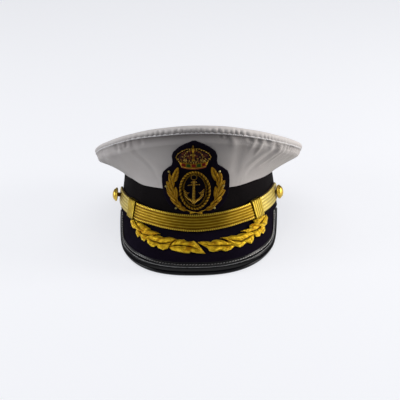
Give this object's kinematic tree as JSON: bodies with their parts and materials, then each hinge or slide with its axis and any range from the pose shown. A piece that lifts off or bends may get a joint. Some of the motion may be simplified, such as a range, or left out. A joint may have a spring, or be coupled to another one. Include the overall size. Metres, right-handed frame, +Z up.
{
  "type": "naval officer cap",
  "caption": "Peaked naval officer cap: white cloth crown, black band, gold chin strap with side buttons, oak-leaf peak with leather binding and an embroidered anchor badge.",
  "frame": {"origin": "centre of the footprint box, on the ground under the cap, as it stands on its peak rim and the rear of its band", "axes": "+X to the viewer's right when facing the badge, -Y towards the front of the peak, +Y towards the rear, +Z up"},
  "size_m": [0.2356, 0.2792, 0.1491],
  "materials": {
    "crown_top": "white cotton, plain weave, pressed over a stiffened rim",
    "crown_side": "white cotton, plain weave, with soft puckers and folds",
    "band": "black wool cloth over a stiff inner",
    "peak": "navy-black felt",
    "peak_binding": "black patent leather, stitched",
    "peak_leaves": "gold bullion wire embroidery, raised",
    "strap_front": "gold wire lace with lengthwise ribs",
    "strap_ends": "pale gold wire lace with lengthwise ribs",
    "keepers": "pale gold wire lace",
    "buttons": "gilt, domed, polished",
    "badge_patch": "navy-black felt, padded",
    "badge_crown": "gold and silver bullion with coloured jewels",
    "badge_rope_ring": "twisted gold wire cord",
    "badge_anchor": "silver-gold bullion",
    "badge_wreath": "gold bullion leaves"
  },
  "bodies": {
    "root": {"crown_top": "crown_top", "crown_side": "crown_side", "band": "band", "peak": "peak", "peak_binding": "peak_binding", "peak_leaves_left": "peak_leaves", "peak_leaves_right": "peak_leaves", "strap_front": "strap_front", "strap_end_left": "strap_ends", "strap_end_right": "strap_ends", "keeper_left": "keepers", "keeper_right": "keepers", "button_left": "buttons", "button_right": "buttons", "badge_patch": "badge_patch", "badge_crown": "badge_crown", "badge_rope_ring": "badge_rope_ring", "badge_anchor": "badge_anchor", "badge_wreath_left": "badge_wreath", "badge_wreath_right": "badge_wreath"}
  },
  "joints": []
}
